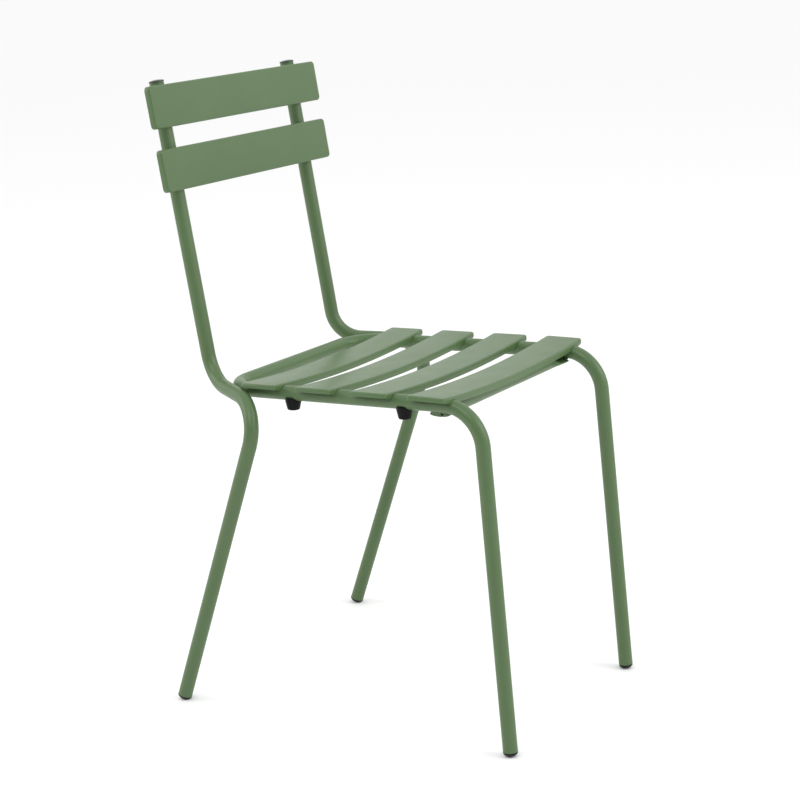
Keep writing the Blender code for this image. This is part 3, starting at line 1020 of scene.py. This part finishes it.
@dataclass
class Trim(Assembly):
    """The push-in foot caps and post caps, and the stacking bumpers under the rails."""

    stem_radius: float = 0.0075
    stem_chamfer: float = 0.0008
    foot_stem: float = 0.016
    foot_edge: float = 0.0002
    foot_dome_end: float = math.radians(177.3)  # a little short of the dome's pole
    foot_dome_steps: int = 16
    post_stem: float = 0.012
    post_cap_height: float = 0.0028  # of its edge above the tube's end
    post_cap_lip: float = 0.0003  # past the tube, all round
    post_cap_round: float = 0.0008
    post_cap_round_steps: int = 5
    post_cap_crown: float = 0.0012  # rise of its domed face
    post_cap_crown_steps: int = 7
    bumper_top_radius: float = 0.0106
    bumper_foot_radius: float = 0.0082
    bumper_edge: float = 0.0012
    bumper_edge_steps: int = 6
    bumper_saddle: float = 0.0045
    bumper_pitch: float = 0.1674  # from a front bumper to the rear one

    def foot_cap(self, end: str, side: Side, foot: Vector, knee: Vector) -> None:
        """A domed cap with a collar, flat where it stands.

        Args:
            end: Front or rear.
            side: The sitter's side.
            foot: Where the leg's axis meets the floor.
            knee: The first corner above it.
        """
        layout = self.layout
        tube_end, up = layout.leg_end(foot, knee)
        dome, collar = layout.foot_dome_radius, layout.foot_collar
        drop = math.sqrt(dome**2 - layout.tube_radius**2)
        edge = math.pi - math.asin(layout.tube_radius / dome)
        profile = [
            (self.stem_radius - self.stem_chamfer, self.foot_stem),
            (self.stem_radius, self.foot_stem - self.stem_chamfer),
            (self.stem_radius, -FIT_GAP),
            (layout.tube_radius - self.foot_edge, -FIT_GAP),
            (layout.tube_radius, -FIT_GAP - self.foot_edge),
            *arc_points(
                (0, -FIT_GAP - collar + drop), dome, edge, self.foot_dome_end, self.foot_dome_steps
            ),
        ]
        cap = TurnedPiece(f"foot_{end}_{side.label}", profile).build()
        stand(cap, tube_end, up)
        Bench.edit(cap, True)
        bpy.ops.mesh.bisect(
            plane_co=(0, 0, 0), plane_no=(0, 0, 1), use_fill=True, clear_inner=True, threshold=HAIR
        )
        bpy.ops.object.mode_set(mode="OBJECT")
        self.hand_over(cap, Slot.FOOT, f"foot_cap_{end}_{side.label}")

    def post_cap(self, side: Side) -> None:
        """A cap with a low domed face."""
        layout = self.layout
        face, edge = self.post_cap_height, self.post_cap_round
        lip = layout.tube_radius + self.post_cap_lip
        rim = lip - edge
        dome = (rim**2 + self.post_cap_crown**2) / (2 * self.post_cap_crown)
        lean = math.asin(rim / dome)
        steps = self.post_cap_crown_steps
        profile = [
            (self.stem_radius - self.stem_chamfer, -self.post_stem),
            (self.stem_radius, -self.post_stem + self.stem_chamfer),
            (self.stem_radius, FIT_GAP),
            (lip, FIT_GAP),
            *arc_points(
                (rim, face - edge), edge, math.pi / 2, lean, self.post_cap_round_steps
            ),
            *arc_points(
                (0, face + self.post_cap_crown - dome), dome, lean, lean / (steps + 1), steps
            ),
        ]
        cap = TurnedPiece(f"post_plug_{side.label}", profile).build()
        stand(cap, layout.rear_corners(side)[-1], layout.post_direction)
        self.hand_over(cap, Slot.POST_CAP, f"post_cap_{side.label}")

    def bumper(self, end: str, side: Side, y: float, rail: Piece) -> None:
        """A tapered bumper that saddles its rail.

        Args:
            end: Front or rear.
            side: The sitter's side.
            y: Its depth.
            rail: The rod that the saddle is cut with.
        """
        layout = self.layout
        edge = self.bumper_edge
        corner = (self.bumper_foot_radius - edge, edge - layout.bumper_reach)
        profile = [
            (self.bumper_top_radius, self.bumper_saddle - layout.tube_radius),
            (self.bumper_top_radius, -layout.tube_radius),
            *arc_points(corner, edge, math.pi / 2, math.pi, self.bumper_edge_steps),
        ]
        body = TurnedPiece(f"bumper_{end}_{side.label}_body", profile).build()
        stand(body, layout.rail_point(side, y), Vector((0, 0, 1)))
        Bench.cut_away(body, [rail])
        self.hand_over(body, Slot.BUMPER, f"bumper_{end}_{side.label}")

    def build(self, rail: Piece) -> None:
        """Builds every cap and bumper."""
        hoop = self.layout.hoop_corners()
        front_y = self.layout.front_y + self.layout.front_bumper_setback
        front_legs = {Side.LEFT: hoop[:2], Side.RIGHT: hoop[:-3:-1]}
        for side in Side:
            self.foot_cap("front", side, *front_legs[side])
            self.foot_cap("rear", side, *self.layout.rear_corners(side)[:2])
            self.post_cap(side)
            self.bumper("front", side, front_y, rail)
            self.bumper("rear", side, front_y + self.bumper_pitch, rail)


@dataclass
class Welds(Assembly):
    """The weld beads that hold the metal together, joined into one piece."""

    radius: float = 0.0016
    sides: int = 10
    ripple: float = 0.10  # how much each ring swells and shrinks
    ripple_length: float = 0.0020
    tip: float = 0.35  # size of a bead's end against its middle
    fewest_rings: int = 4
    notch_reach: float = math.radians(62)  # of a notch's bead each way from the rail's top
    cross_reach: float = 0.0125  # of the cross tube's beads each way from its axis
    sweep_reach: float = 0.009
    post_reach: float = 0.005

    @property
    def set_in(self) -> float:
        """How far a bead's axis lies from the faces of the corner that it fills."""
        return self.radius / 3

    def grow(self, run: RingRun, places: list, moves: list) -> Piece:
        """Lays a bead ring by ring.

        Args:
            run: The run, at the bead's first ring.
            places: Each next ring's centre.
            moves: What takes the run to each of those centres.

        Returns:
            The closed bead.
        """
        size = self.tip
        for index, (place, move) in enumerate(zip(places, moves), 1):
            move()
            wanted = self.tip if index == len(places) else 1 + self.ripple * (-1) ** index
            run.resize((wanted / size,) * 3, place)
            size = wanted
        run.shut()
        return run.done()

    def straight(self, middle: Vector, half: Vector) -> Piece:
        """Lays a straight bead, half its length each way from its middle."""
        steps = max(self.fewest_rings, round(2 * half.length / self.ripple_length))
        step = 2 * half / steps
        run = RingRun("weld_straight", middle - half, half, self.radius * self.tip, self.sides)
        places = [middle - half + step * n for n in range(1, steps + 1)]
        return self.grow(run, places, [lambda: run.draw_out(step)] * steps)

    def arc(self, centre: Vector, axis: Vector, start: Vector, turn: float) -> Piece:
        """Lays a bead round an axis.

        Args:
            centre: The arc's centre.
            axis: The axis, by the right-hand rule.
            start: From the centre to the bead's start.
            turn: How far it runs.

        Returns:
            The closed bead.
        """
        steps = max(self.fewest_rings, round(turn * start.length / self.ripple_length))
        run = RingRun(
            "weld_arc", centre + start, axis.cross(start), self.radius * self.tip, self.sides
        )
        places = [
            centre + Matrix.Rotation(turn * n / steps, 3, axis) @ start for n in range(1, steps + 1)
        ]
        return self.grow(run, places, [lambda: run.bend(turn / steps, centre, axis, 1)] * steps)

    def notch_beads(self, seat: Seat, side: Side) -> list:
        """Beads inside the seat slats' long walls, over one rail."""
        along = self.layout.rail_direction
        first = Matrix.Rotation(-self.notch_reach, 3, along) @ self.layout.seat_normal
        reach = self.layout.tube_radius + self.set_in
        inside = seat.width / 2 - SHEET - self.set_in
        middles = [seat.middle_y(index) for index in range(seat.count)]
        depths = [middle + wall * inside for middle in middles for wall in (-1, 1)]
        # The front slat is welded at its rear wall only.
        return [
            self.arc(self.layout.rail_point(side, y), along, first * reach, 2 * self.notch_reach)
            for y in depths[1:]
        ]

    def cross_beads(self, cross: CrossTube, side: Side) -> list:
        """Beads along both sides of the line where the cross tube's end meets its rail."""
        layout = self.layout
        rail = layout.rail_point(side, layout.front_y + cross.setback)
        below = rail - layout.seat_normal * (layout.tube_radius + self.radius / 2)
        half = layout.rail_direction * self.cross_reach
        outer = below - Vector((side.value * (cross.inset - self.radius / 2), 0, 0))
        inner = below - Vector((side.value * (cross.inset + 2 * self.radius), 0, 0))
        return [self.straight(outer, half), self.straight(inner, half)]

    def sweep_bead(self, side: Side) -> Piece:
        """The bead under the line where a rear frame passes the hoop's corner."""
        layout = self.layout
        out = Vector((
            side.value * math.cos(layout.sweep_heading), math.sin(layout.sweep_heading), 0
        ))
        apart = layout.tube_radius + FIT_GAP / 2
        drop = math.sqrt((layout.tube_radius + self.radius / 2) ** 2 - apart**2)
        middle = layout.sweep_touch(side) - out * apart - Vector((0, 0, drop))
        return self.straight(middle, layout.sweep_run(side).normalized() * self.sweep_reach)

    def post_beads(self, back: Back, side: Side) -> list:
        """Beads inside the back slats' long walls, in front of one post."""
        layout = self.layout
        inside = back.width / 2 - SHEET - self.set_in
        post = Vector((side.value * layout.post_half_span, 0, 0))
        behind = post - layout.post_front * (WALL_DEPTH - self.set_in)
        half = Vector((self.post_reach, 0, 0))
        return [
            self.straight(back.middle(index) + behind + layout.post_direction * wall * inside, half)
            for index in range(len(back.words)) for wall in (-1, 1)
        ]

    def build(self, seat: Seat, cross: CrossTube, back: Back) -> None:
        """Lays every bead and joins them."""
        beads = []
        for side in Side:
            beads += self.notch_beads(seat, side) + self.cross_beads(cross, side)
            beads += [self.sweep_bead(side)] + self.post_beads(back, side)
        self.hand_over(Bench.join("weld_beads", beads), Slot.PAINT, None)


# ---- Stage ----


@dataclass
class SoftBox:
    """A large square studio light."""

    name: str
    place: tuple
    aim: tuple
    size: float
    power: float

    def build(self) -> None:
        """Hangs the light and turns it to its aim."""
        lamp = bpy.data.lights.new(self.name, "AREA")
        lamp.shape = "SQUARE"
        lamp.size = self.size
        lamp.energy = self.power
        holder = bpy.data.objects.new(self.name, lamp)
        bpy.context.scene.collection.objects.link(holder)
        holder.location = self.place
        aim = Vector(self.aim) - Vector(self.place)
        holder.rotation_euler = aim.to_track_quat("-Z", "Y").to_euler()


@dataclass
class Stage:
    """The floor, the lights and the camera."""

    floor_size: float = 60.0
    floor_colour: tuple = (0.89, 0.89, 0.89, 1.0)
    floor_roughness: float = 0.9
    sky: float = 1.20  # strength of the even light
    flag_light: float = 0.36  # its strength where the flag dims it
    flag_way: tuple = (-0.97, -0.10, 0.22)
    flag_inner: float = math.radians(28)
    flag_outer: float = math.radians(62)
    camera_place: tuple = (-2.18327, -1.38881, 1.05800)
    camera_heading: float = math.radians(-57.660)
    camera_fall: float = math.radians(14.469)
    camera_roll: float = math.radians(-1.605)
    camera_lens: float = 90.305
    camera_range: float = 200.0
    lights: tuple = (
        SoftBox("front_light", (0.9, -3.3, 2.4), (0, 0, 0.5), 1.8, 40.0),
        SoftBox("near_light", (-2.6, -0.2, 3.0), (0, 0, 0.5), 1.6, 34.0),
        SoftBox("rear_light", (-1.6, 2.6, 1.6), (0, 0, 0.4), 1.2, 20.0),
    )

    def build(self) -> None:
        """Sets up the whole stage."""
        self.lay_floor()
        for light in self.lights:
            light.build()
        self.hang_sky()
        self.set_camera()
        bpy.context.scene.view_settings.view_transform = "Standard"

    def hang_sky(self) -> None:
        """Surrounds the stage with even light, but for a dim flag at the chair's near side."""
        graph = Graph(bpy.data.worlds.new("studio"))
        bpy.context.scene.world = graph.owner
        way = graph.signal("ShaderNodeTexCoord", "Generated", {}, {})
        towards_flag = graph.signal(
            "ShaderNodeVectorMath", "Value", {"operation": "DOT_PRODUCT"},
            {0: way, 1: Vector(self.flag_way).normalized()},
        )
        flagged = graph.ramp(towards_flag, math.cos(self.flag_outer), math.cos(self.flag_inner))
        strength = self.sky - flagged * (self.sky - self.flag_light)
        light = graph.signal(
            "ShaderNodeBackground", "Background", {}, {"Color": (1, 1, 1, 1), "Strength": strength}
        )
        graph.node("ShaderNodeOutputWorld", {}, {"Surface": light})

    def lay_floor(self) -> None:
        """Lays the plain pale floor."""
        Bench.clear_selection()
        bpy.ops.mesh.primitive_plane_add(size=self.floor_size)
        floor = bpy.context.object
        floor.name = "studio_floor"
        graph = Graph(bpy.data.materials.new("floor_paper"))
        floor.data.materials.append(
            graph.finish({"Base Color": self.floor_colour, "Roughness": self.floor_roughness})
        )

    def set_camera(self) -> None:
        """Places the camera and makes it the scene's own."""
        lens = bpy.data.cameras.new("camera")
        lens.lens = self.camera_lens
        lens.clip_end = self.camera_range
        camera = bpy.data.objects.new("camera", lens)
        bpy.context.scene.collection.objects.link(camera)
        turn = Matrix.Rotation(self.camera_heading, 4, "Z")
        turn @= Matrix.Rotation(math.pi / 2 - self.camera_fall, 4, "X")
        turn @= Matrix.Rotation(self.camera_roll, 4, "Z")
        camera.matrix_world = Matrix.Translation(self.camera_place) @ turn
        bpy.context.scene.camera = camera


def main() -> None:
    """Builds the chair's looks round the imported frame, and its stage."""
    logging.basicConfig(level=logging.INFO, format="%(name)s %(message)s", stream=sys.stdout)
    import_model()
    layout = Layout()
    finishes = Finishes()
    frame = TubeFrame(layout, finishes)
    frame.build()
    clearances = frame.clearances()
    seat = Seat(layout, finishes)
    seat.build(clearances)
    cross = CrossTube(layout, finishes)
    cross.build(clearances[0])
    back = Back(layout, finishes)
    back.build()
    Welds(layout, finishes).build(seat, cross, back)
    Trim(layout, finishes).build(clearances[0])
    Bench.discard(clearances)
    Stage().build()


if __name__ == "__main__":
    main()
